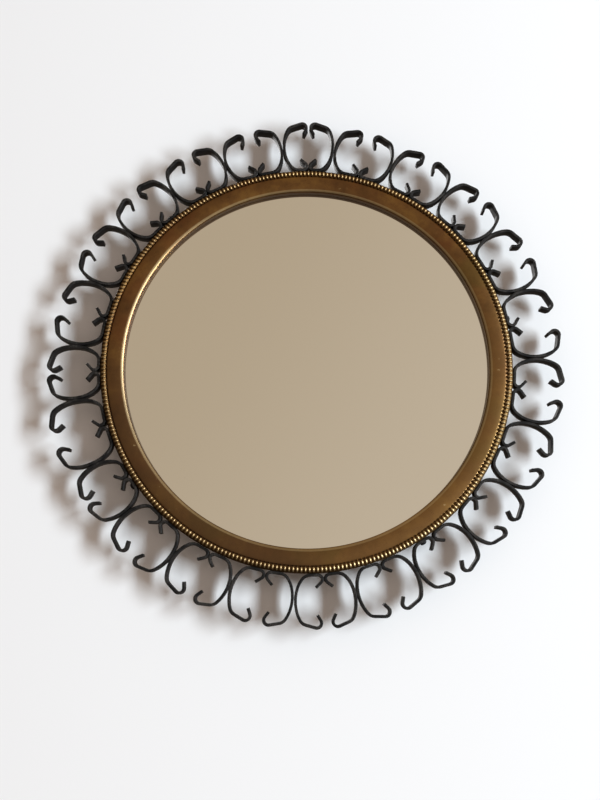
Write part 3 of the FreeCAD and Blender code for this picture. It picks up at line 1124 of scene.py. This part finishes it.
@dataclass
class BrassRing(Assembly):
    """Pressed brass ring: side wall, row of beads, crowned band, sloping lip and the seat of the glass.

    Radii are from the mirror's axis and depths from the wall.
    """

    finish: AgedBrass
    opening_radius: float = 127.3 * MM
    ridge_radius: float = 130.2 * MM
    band_edge_radius: float = 138.5 * MM
    groove_radius: float = 139.45 * MM
    crest_radius: float = 141.0 * MM
    shoulder_radius: float = 142.5 * MM
    sheet: float = 1.0 * MM
    seat_depth: float = 10.7 * MM
    lip_depth: float = 14.7 * MM
    ridge_depth: float = 16.3 * MM
    band_crown: float = 0.4 * MM
    lip_roll: float = 0.6
    groove_depth: float = 15.7 * MM
    bed_depth: float = 16.7 * MM
    shoulder_depth: float = 16.1 * MM
    wall_depth: float = 14.9 * MM
    under_depth: float = 15.0 * MM
    lip_back: float = 0.5 * MM
    corner_inset: float = 1.6 * MM
    corner_drop: float = 0.6 * MM
    edge_radius: float = 0.55 * MM
    curve_steps: int = 10
    bead_width: float = 2.0 * MM
    bead_steps: int = 8
    bead_sides: int = 8
    arch_inset: float = 0.1 * MM
    foot_inset: float = 0.5 * MM

    def band(self) -> list[complex]:
        """Crowned band from its outer edge in towards the ridge.

        Returns:
            Its points, with radius and depth as one complex number.
        """
        half = (self.band_edge_radius - self.ridge_radius) / 2
        reaches = [1 - 2 * step / self.curve_steps for step in range(self.curve_steps)]
        return [complex(self.ridge_radius + half * (1 + reach),
                        self.ridge_depth + self.band_crown * (1 - reach ** 2)) for reach in reaches]

    def lip(self) -> list[complex]:
        """Lip from the ridge down to the opening, between a straight slope and a quarter of an ellipse.

        Returns:
            Its points, with radius and depth as one complex number.
        """
        ridge = complex(self.ridge_radius, self.ridge_depth)
        run, fall = self.ridge_radius - self.opening_radius, self.ridge_depth - self.lip_depth
        points = []
        for step in range(self.curve_steps + 1):
            angle = math.pi / 2 * step / self.curve_steps
            drop = self.lip_roll * (1 - math.cos(angle)) + (1 - self.lip_roll) * math.sin(angle)
            points.append(ridge - complex(run * math.sin(angle), fall * drop))
        return points

    def section(self, wall: float) -> list[complex]:
        """Rounded section of the ring.

        Args:
            wall: Outer radius of the side wall.

        Returns:
            Its points, with radius and depth as one complex number.
        """
        outside = [
            complex(wall, 0.0),
            complex(wall, self.wall_depth),
            complex(self.shoulder_radius, self.shoulder_depth),
            complex(self.crest_radius, self.bed_depth),
            complex(self.groove_radius, self.groove_depth),
        ]
        behind = [
            complex(self.opening_radius, self.seat_depth),
            complex(self.opening_radius + self.sheet, self.seat_depth),
            complex(self.opening_radius + self.sheet, self.lip_depth - self.lip_back),
            complex(self.ridge_radius, self.under_depth),
            complex(wall - self.corner_inset, self.under_depth),
            complex(wall - self.sheet, self.wall_depth - self.corner_drop),
            complex(wall - self.sheet, 0.0),
        ]
        return rounded(outside + self.band() + self.lip() + behind, self.edge_radius, closed=True)

    def build(self) -> None:
        """Builds the ring and its row of beads."""
        low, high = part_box("brass_frame")
        ring = self.shop.turned(self.section(high.x), self.shop.round_steps, about_wall_axis, closed=True)
        self.shop.piece("brass_ring", ring, self.finish, "brass_frame")
        # The arch point of a bead's curve lies twice as high over its feet as the bead's own top
        arch_depth = 2 * (-low.y - self.bead_width / 2) - (self.groove_depth + self.wall_depth) / 2
        row = self.shop.beads.run(bpy.data.meshes.new("start"), {
            "Count": self.finish.bead_count,
            "Inner Foot": about_wall_axis(self.groove_radius, self.groove_depth, 0.0),
            "Arch": about_wall_axis(self.crest_radius - self.arch_inset, arch_depth, 0.0),
            "Outer Foot": about_wall_axis(high.x - self.foot_inset, self.wall_depth, 0.0),
            "Width": self.bead_width,
            "Steps": self.bead_steps,
            "Sides": self.bead_sides,
            "Finish": self.finish.material(),
        })
        self.shop.piece("bead_row", row, self.finish, "brass_frame")


@dataclass
class ScrollBorder(Assembly):
    """Border of petals. Each scroll is one strip, bent along the centre line of its node."""

    finish: BlackIron
    edge_radius: float = 0.3 * MM
    end_round: float = 0.25 * MM
    end_scale: float = 0.86
    bend_radius: float = 60 * MM
    square_turn: float = 1.3

    def outline(self, node: str) -> list[complex]:
        """Outline of the front face of a strip's node.

        Args:
            node: Name of the node.

        Returns:
            The corners in order, with place across as real part and up as imaginary part.
        """
        merged = joined(node)
        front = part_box(node)[0].y
        face = {f for f in merged.faces if all(abs(v.co.y - front) < SAME_CORNER for v in f.verts)}
        links: dict[bmesh.types.BMVert, list[bmesh.types.BMVert]] = {}
        for edge in merged.edges:
            if sum(f in face for f in edge.link_faces) == 1:
                for corner in edge.verts:
                    links.setdefault(corner, []).append(edge.other_vert(corner))
        first = next(iter(links))
        loop = [first, links[first][0]]
        while len(loop) < len(links):
            loop.append(next(v for v in links[loop[-1]] if v is not loop[-2]))
        corners = [complex(v.co.x, v.co.z) for v in loop]
        merged.free()
        return corners

    def centre_line(self, node: str) -> tuple[list[complex], float]:
        """Corners of a strip's centre line, halfway between the two sides of its outline.

        Args:
            node: Name of the node.

        Returns:
            The corners in order, and the strip's thickness.
        """
        outline = self.outline(node)
        count = len(outline)
        square = [abs(cmath.phase((outline[(i + 1) % count] - p) / (p - outline[i - 1]))) > self.square_turn
                  for i, p in enumerate(outline)]
        start = next(i for i in range(count) if square[i] and square[(i + 1) % count])
        left = [outline[(start + 1 + i) % count] for i in range(count // 2)]
        right = [outline[(start - i) % count] for i in range(count // 2)]
        return [(a + b) / 2 for a, b in zip(left, right)], abs(left[0] - right[0])

    def trimmed(self, line: list[complex]) -> list[complex]:
        """Line with one more point just inside each end, where the rounding of the end begins.

        Args:
            line: Points of the line.

        Returns:
            The points with the two more.
        """
        def inside(end: complex, near: complex) -> complex:
            """Point a little way in from an end."""
            return end + (near - end) / abs(near - end) * self.end_round

        return [line[0], inside(line[0], line[1]), *line[1:-1], inside(line[-1], line[-2]), line[-1]]

    def build(self) -> None:
        """Builds every scroll from its node."""
        for node in sorted(name for name in frame["nodes"] if name.endswith("_scroll")):
            low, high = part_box(node)
            corners, thickness = self.centre_line(node)
            middle_depth = (low.y + high.y) / 2
            line = self.trimmed(rounded(corners, self.bend_radius))
            points = [Vector((p.real, middle_depth, p.imag)) for p in line]
            mesh = self.shop.strip.run(self.shop.line(points, end_scale=self.end_scale), {
                "Width": high.y - low.y,
                "Thickness": thickness,
                "Edge Radius": self.edge_radius,
                "Finish": self.finish.material(),
            })
            self.shop.piece(node.replace("_scroll", "_strip"), mesh, self.finish, node)


@dataclass
class Glazing(Assembly):
    """Mirror glass, the board behind it and the brass tabs that hold both in the ring."""

    silver: SilveredGlass
    board: Hardboard
    brass: AgedBrass
    glass_arris: float = 0.4 * MM
    board_arris: float = 0.5 * MM
    tab_bend: float = 1.2 * MM
    tab_edge: float = 0.15 * MM

    def disc(self, node: str, arris: float) -> bpy.types.Mesh:
        """Round plate as large as a node, with its edges taken off.

        Args:
            node: Name of the node.
            arris: Width of the edge that is taken off.

        Returns:
            The mesh.
        """
        low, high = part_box(node)
        rim = [
            complex(0.0, -high.y),
            complex(high.x - arris, -high.y),
            complex(high.x, -high.y + arris),
            complex(high.x, -low.y - arris),
            complex(high.x - arris, -low.y),
            complex(0.0, -low.y),
        ]
        return self.shop.turned(rim, self.shop.round_steps, about_wall_axis)

    def tab(self) -> bpy.types.Mesh:
        """One tab as it would stand straight above the axis: a leg under the band and a foot over the board.

        Returns:
            The mesh.
        """
        model = solids("retaining_tabs")[0]
        foot, head = model.heights()
        back, front = model.reach(Vector((0.0, -1.0, 0.0)))
        thickness = -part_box("backing_board")[1].y - back
        leg = head - thickness / 2
        line = rounded([
            complex(leg, front),
            complex(leg, back + thickness / 2),
            complex(foot, back + thickness / 2),
        ], self.tab_bend)
        points = [Vector((0.0, -p.imag, p.real)) for p in line]
        return self.shop.strip.run(self.shop.line(points), {
            "Width": model.width(),
            "Thickness": thickness,
            "Edge Radius": self.tab_edge,
            "Finish": self.brass.material(),
        })

    def build(self) -> None:
        """Builds the glass, the board and the tabs."""
        glass = self.disc("mirror_glass", self.glass_arris)
        self.shop.piece("silvered_mirror", glass, self.silver, "mirror_glass")
        back = self.disc("backing_board", self.board_arris)
        self.shop.piece("hardboard_back", back, self.board, "backing_board")
        tabs = self.shop.copies_of(self.tab(), turns_of("retaining_tabs"), self.brass)
        self.shop.piece("bent_tabs", tabs, self.brass, "retaining_tabs")


@dataclass(frozen=True)
class DomedHead:
    """Domed head of a screw, with a low rim all round."""

    radius: float
    height: float
    rim: float
    power: float
    steps: int

    def section(self, seat: float) -> list[complex]:
        """Section from the rim up to the crown.

        Args:
            seat: Height of the face that the head rests on.

        Returns:
            Points with the radius as real part and the height as imaginary part.
        """
        angles = [math.pi / 2 * step / self.steps for step in range(self.steps)]
        dome = [complex(self.radius * math.cos(angle) ** self.power,
                        seat + self.rim + (self.height - self.rim) * math.sin(angle)) for angle in angles]
        return dome + [complex(0.0, seat + self.height)]


@dataclass
class Fasteners(Assembly):
    """Round-headed screws through the border and the nuts behind the ring's wall."""

    iron: BlackIron
    steel: ZincSteel
    head: DomedHead = DomedHead(radius=2.3 * MM, height=1.7 * MM, rim=0.3 * MM, power=0.8, steps=8)
    head_inset: float = 0.15 * MM
    shank_radius: float = 1.5 * MM
    slot_width: float = 0.55 * MM
    slot_depth: float = 0.7 * MM
    slot_length: float = 6.9 * MM
    thread_pitch: float = 0.5 * MM
    thread_depth: float = 0.25 * MM
    threaded_share: float = 0.7
    nut_flats: float = 5.5 * MM
    nut_sides: int = 6
    nut_slope: float = 0.9
    nut_margin: float = 0.1 * MM
    nut_clearance: float = 0.05 * MM
    sides: int = 24
    lens_sides: int = 36

    def screw(self, tip: float, top: float) -> bpy.types.Mesh:
        """One screw upright between two heights above the axis.

        Args:
            tip: Height of its tip.
            top: Height of its head's crown.

        Returns:
            The mesh.
        """
        seat = top - self.head.height
        root = self.shank_radius - self.thread_depth
        section = [complex(0, tip), complex(root, tip)]
        for groove in range(int((seat - tip) * self.threaded_share / self.thread_pitch)):
            start = tip + groove * self.thread_pitch
            section.append(complex(self.shank_radius, start + self.thread_pitch / 2))
            section.append(complex(root, start + self.thread_pitch))
        section.append(complex(self.shank_radius, section[-1].imag + self.thread_pitch / 2))
        section.append(complex(self.shank_radius, seat))
        section.append(complex(self.head.radius - self.head_inset, seat))
        body = self.shop.turned(section + self.head.section(seat), self.sides, about_own_axis)
        size = Vector((self.slot_length, self.slot_width, 2 * self.slot_depth))
        return cut_away(body, block(size, Vector((0, 0, top))))

    def nut(self, low: float, high: float) -> bpy.types.Mesh:
        """One hexagon nut upright between two heights above the axis, its corners taken off.

        Args:
            low: Height of its lower face.
            high: Height of its upper face.

        Returns:
            The mesh.
        """
        half = self.nut_flats / 2
        corner = half / math.cos(math.pi / self.nut_sides)
        slope = (corner - half) * self.nut_slope
        wide = corner + self.nut_margin
        bore = self.shank_radius + self.nut_clearance
        below, above = low - self.nut_flats, high + self.nut_flats
        prism = [complex(0, low), complex(corner, low), complex(corner, high), complex(0, high)]
        lens = [complex(0, low), complex(half, low), complex(wide, low + slope),
                complex(wide, high - slope), complex(half, high), complex(0, high)]
        hole = [complex(0, below), complex(bore, below), complex(bore, above), complex(0, above)]
        shaped = cut_away(self.shop.turned(prism, self.nut_sides, about_own_axis),
                          self.shop.turned(lens, self.lens_sides, about_own_axis), Cut.SHARED)
        return cut_away(shaped, self.shop.turned(hole, self.sides, about_own_axis))

    def build(self) -> None:
        """Builds the screws and nuts where the model has them."""
        low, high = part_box("border_screws")
        turns = turns_of("border_screws")
        places = [Vector((0.0, (low.y + high.y) / 2, 0.0))] * len(turns)
        screw = self.screw(*solids("border_screws")[0].heights())
        screws = self.shop.copies_of(screw, turns, self.iron, places)
        self.shop.piece("slotted_screws", screws, self.iron, "border_screws")
        nut = self.nut(*solids("border_nuts")[0].heights())
        nuts = self.shop.copies_of(nut, turns_of("border_nuts"), self.steel, places)
        self.shop.piece("hexagon_nuts", nuts, self.steel, "border_nuts")


@dataclass
class Hanger(Assembly):
    """Strap on the board, its two screws and the D-shaped ring that swings in the strap's curled end."""

    steel: ZincSteel
    sheet: float = 0.8 * MM
    strap_edge: float = 0.15 * MM
    curl_open: float = math.radians(50)
    curl_steps: int = 28
    joggle: float = 3.0 * MM
    wire_radius: float = 1.0 * MM
    ring_corner: float = 1.5 * MM
    ring_leg: float = 1.5 * MM
    bow_steps: int = 40
    wire_sides: int = 16
    head: DomedHead = DomedHead(radius=2.2 * MM, height=1.0 * MM, rim=0.15 * MM, power=0.6, steps=6)
    shank_radius: float = 1.0 * MM
    shank_length: float = 2.5 * MM
    cross_width: float = 0.6 * MM
    cross_length: float = 2.86 * MM
    screw_sides: int = 24

    def strap(self, pivot: Vector) -> bpy.types.Mesh:
        """Strap from its lower end up the board and round the ring's bar.

        Args:
            pivot: Middle of the ring's bar.

        Returns:
            The mesh.
        """
        low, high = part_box("hanger_strap")
        leaf = -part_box("backing_board")[1].y - self.sheet / 2
        curl = high.z - pivot.z - self.sheet / 2
        line = [
            complex(low.z, leaf),
            complex(pivot.z - 2 * self.joggle, leaf),
            complex(pivot.z - self.joggle, -pivot.y + curl),
        ]
        for step in range(self.curl_steps + 1):
            angle = (FULL_TURN - self.curl_open) * step / self.curl_steps
            line.append(complex(pivot.z + curl * math.sin(angle), -pivot.y + curl * math.cos(angle)))
        points = [Vector((0.0, -p.imag, p.real)) for p in line]
        return self.shop.strip.run(self.shop.line(points), {
            "Width": high.x - low.x,
            "Thickness": self.sheet,
            "Edge Radius": self.strap_edge,
            "Finish": self.steel.material(),
        })

    def ring(self, pivot: Vector) -> bpy.types.Mesh:
        """Wire ring that hangs from its straight bar.

        Args:
            pivot: Middle of the ring's bar.

        Returns:
            The mesh.
        """
        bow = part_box("hanging_ring")[1].x - self.wire_radius
        centre = pivot.z - self.ring_corner - self.ring_leg
        bar = [complex(-bow, centre), complex(-bow, pivot.z), complex(bow, pivot.z), complex(bow, centre)]
        line = rounded(bar, self.ring_corner)
        for step in range(1, self.bow_steps):
            angle = -math.pi * step / self.bow_steps
            line.append(complex(bow * math.cos(angle), centre + bow * math.sin(angle)))
        points = [Vector((p.real, pivot.y, p.imag)) for p in line]
        return self.shop.wire.run(self.shop.line(points, closed=True), {
            "Wire Radius": self.wire_radius,
            "Sides": self.wire_sides,
            "Finish": self.steel.material(),
        })

    def screw(self) -> bpy.types.Mesh:
        """One low-headed screw with a cross slot, its head towards the wall.

        Returns:
            The mesh.
        """
        shank = [complex(0, -self.shank_length), complex(self.shank_radius, -self.shank_length),
                 complex(self.shank_radius, 0), complex(self.head.radius, 0)]
        mesh = self.shop.turned(shank + self.head.section(0.0), self.screw_sides, about_own_axis)
        top = Vector((0, 0, self.head.height))
        for sides in ((self.cross_length, self.cross_width), (self.cross_width, self.cross_length)):
            mesh = cut_away(mesh, block(Vector((*sides, self.head.height)), top))
        mesh.transform(Matrix.Rotation(-math.pi / 2, 4, "X"))
        return mesh

    def build(self) -> None:
        """Builds the strap, its screws and the ring."""
        pivot = Vector(frame["joints"][0]["pos_m"])
        self.shop.piece("curled_strap", self.strap(pivot), self.steel, "hanger_strap")
        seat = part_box("backing_board")[1].y + self.sheet
        middles = [solid.middle() for solid in solids("hanger_screws")]
        places = [Vector((middle.x, seat, middle.z)) for middle in middles]
        screws = self.shop.copies_of(self.screw(), [0.0] * len(places), self.steel, places)
        self.shop.piece("cross_screws", screws, self.steel, "hanger_screws")
        self.shop.piece("wire_ring", self.ring(pivot), self.steel, "hanging_ring", Body.RING)


@dataclass
class Studio:
    """Pale sheet behind the mirror, the room that the glass reflects, soft window light and the camera."""

    sheet_colour: Colour = tone(240, 240, 241)
    sheet_size: float = 8.0
    sheet_gap: float = 0.4 * MM
    background: Colour = tone(236, 236, 237)
    wall_shade: Colour = tone(126, 114, 102)
    ambient: Colour = (0.41, 0.333, 0.277, 1.0)

    room_near: Colour = tone(200, 186, 166)
    room_far: Colour = tone(184, 168, 145)
    room_lit: Colour = tone(182, 158, 124)
    room_dark: Colour = tone(94, 82, 68)
    room_axis: Vector = Vector((0.0, -0.98, 0.2))
    room_view: Fade = Fade(math.cos(math.radians(50)), math.cos(math.radians(26)))
    near_side: Fade = Fade(-0.35, 0.2)
    near_slant: float = 0.6
    lit_side: Fade = Fade(-0.2, 0.7)
    room_radius: float = 8.0
    room_segments: int = 48
    room_rings: int = 24
    room_overlap: float = 0.01

    window_colour: tuple[float, float, float] = (0.83, 0.93, 1.0)
    window_distance: float = 4.2
    window_angle: float = math.radians(33.5)
    window_size: tuple[float, float] = (0.75, 3.2)
    window_power: float = 277.0
    back_colour: tuple[float, float, float] = (1.0, 1.0, 1.0)
    back_place: Vector = Vector((-0.7, 1.2, 0.8))
    back_size: tuple[float, float] = (0.9, 0.9)
    back_power: float = 15.0

    camera_place: Vector = Vector((-0.0078, -0.6582, -0.1558))
    camera_aim: Vector = Vector((0.0050, 0.980, 0.198))
    camera_roll: float = math.radians(0.5)
    focal_length: float = 42.75

    @staticmethod
    def stand(mesh: bpy.types.Mesh, material: bpy.types.Material, hidden_from: tuple[Ray, ...]) -> None:
        """Stands a mesh on the stage.

        Args:
            mesh: The mesh, whose name the object takes.
            material: Its material.
            hidden_from: Kinds of ray that don't see it.
        """
        mesh.materials.append(material)
        item = placed(mesh.name, mesh)
        for ray in hidden_from:
            setattr(item, ray.value, False)

    def sheet(self) -> None:
        """Pale sheet behind the mirror, shown to the camera from its front only."""
        half = self.sheet_size / 2
        mesh = bpy.data.meshes.new("pale_sheet")
        corners = [(-half, -half), (half, -half), (half, half), (-half, half)]
        mesh.from_pydata([(across, self.sheet_gap, up) for across, up in corners], [], [(0, 1, 2, 3)])
        material, shader = new_material("pale_sheet")
        front = shader.node("ShaderNodeBsdfDiffuse", sockets={"Color": self.sheet_colour})
        clear = shader.node("ShaderNodeBsdfTransparent")
        behind = shader.node("ShaderNodeNewGeometry", output="Backfacing")
        both = shader.node("ShaderNodeMixShader", sockets={0: behind, 1: front, 2: clear})
        shader.node("ShaderNodeOutputMaterial", sockets={"Surface": both})
        self.stand(mesh, material, (Ray.DIFFUSE, Ray.GLOSSY, Ray.SHADOW))

    def room(self) -> None:
        """Half dome that only reflections show: tan where the glass looks, lit to dark elsewhere."""
        made = bmesh.new()
        bmesh.ops.create_uvsphere(made, u_segments=self.room_segments, v_segments=self.room_rings,
                                  radius=self.room_radius)
        behind = [v for v in made.verts if v.co.y > self.room_overlap]
        bmesh.ops.delete(made, geom=behind, context="VERTS")
        material, shader = new_material("tan_room")
        sight = shader.node("ShaderNodeVectorMath", {"operation": "NORMALIZE"}, {0: shader.point()})
        across, _, up = shader.parts(sight)
        ahead = shader.node("ShaderNodeVectorMath", {"operation": "DOT_PRODUCT"},
                            {0: sight, 1: self.room_axis}, "Value")
        near = (across - up * self.near_slant).fade(self.near_side)
        seen = shader.mix(near, self.room_far, self.room_near)
        aside = shader.mix((across + up).fade(self.lit_side), self.room_dark, self.room_lit)
        colour = shader.mix(ahead.fade(self.room_view), aside, seen)
        glow = shader.node("ShaderNodeEmission", sockets={"Color": colour})
        shader.node("ShaderNodeOutputMaterial", sockets={"Surface": glow})
        hidden_from = (Ray.CAMERA, Ray.DIFFUSE, Ray.TRANSMISSION, Ray.SHADOW)
        self.stand(plain_mesh(made, "tan_room"), material, hidden_from)

    def lamp(self, name: str, place: Vector, size: tuple[float, float], power: float,
             colour: tuple[float, float, float]) -> None:
        """Rectangular soft light that shines at the mirror.

        Args:
            name: Name of the light.
            place: Its middle.
            size: Its two sides.
            power: Its power in watts.
            colour: Its colour.
        """
        light = bpy.data.lights.new(name, "AREA")
        light.shape = "RECTANGLE"
        light.size, light.size_y = size
        light.energy = power
        light.color = colour
        holder = placed(name, light)
        holder.location = place
        holder.rotation_mode = "QUATERNION"
        holder.rotation_quaternion = (-place).to_track_quat("-Z", "Y")

    def lights(self) -> None:
        """Window at the right in front of the wall, and a weaker light behind for the back."""
        aside, forward = math.cos(self.window_angle), math.sin(self.window_angle)
        window = Vector((aside, -forward, 0.0)) * self.window_distance
        self.lamp("window", window, self.window_size, self.window_power, self.window_colour)
        self.lamp("back_light", self.back_place, self.back_size, self.back_power, self.back_colour)

    def world(self) -> None:
        """Pale background for the camera, the shaded wall in reflections, and warm room light elsewhere."""
        world = bpy.data.worlds.new("studio")
        world.use_nodes = True
        bpy.context.scene.world = world
        shader = Shader(world.node_tree)
        rays = shader.node("ShaderNodeLightPath").output.node.outputs
        seen = Socket(shader, rays["Is Camera Ray"]).most(Socket(shader, rays["Is Transmission Ray"]))
        colour = shader.mix(Socket(shader, rays["Is Glossy Ray"]), self.ambient, self.wall_shade)
        colour = shader.mix(seen, colour, self.background)
        glow = shader.node("ShaderNodeBackground", sockets={"Color": colour})
        shader.node("ShaderNodeOutputWorld", sockets={"Surface": glow})

    def camera(self) -> None:
        """Camera at the viewing angle of the photograph."""
        lens = bpy.data.cameras.new("camera")
        lens.lens = self.focal_length
        holder = placed("camera", lens)
        holder.location = self.camera_place
        holder.rotation_mode = "QUATERNION"
        roll = Quaternion((0.0, 0.0, 1.0), self.camera_roll)
        holder.rotation_quaternion = self.camera_aim.to_track_quat("-Z", "Y") @ roll
        bpy.context.scene.camera = holder

    def build(self) -> None:
        """Sets the scene round the mirror."""
        bpy.context.scene.view_settings.view_transform = "Standard"
        self.camera()
        self.sheet()
        self.room()
        self.lights()
        self.world()


def main() -> None:
    """Builds the studio, and the mirror piece by piece."""
    logging.basicConfig(level=logging.INFO, format="%(message)s")
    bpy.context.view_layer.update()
    Studio().build()
    shop = Workshop(StripTree(), WireTree(), BeadTree(), CopiesTree())
    brass, iron, steel = AgedBrass(), BlackIron(), ZincSteel()
    assemblies = [
        BrassRing(shop, brass),
        ScrollBorder(shop, iron),
        Glazing(shop, SilveredGlass(), Hardboard(), brass),
        Fasteners(shop, iron, steel),
        Hanger(shop, steel),
    ]
    for assembly in assemblies:
        assembly.build()


if __name__ == "__main__":
    main()
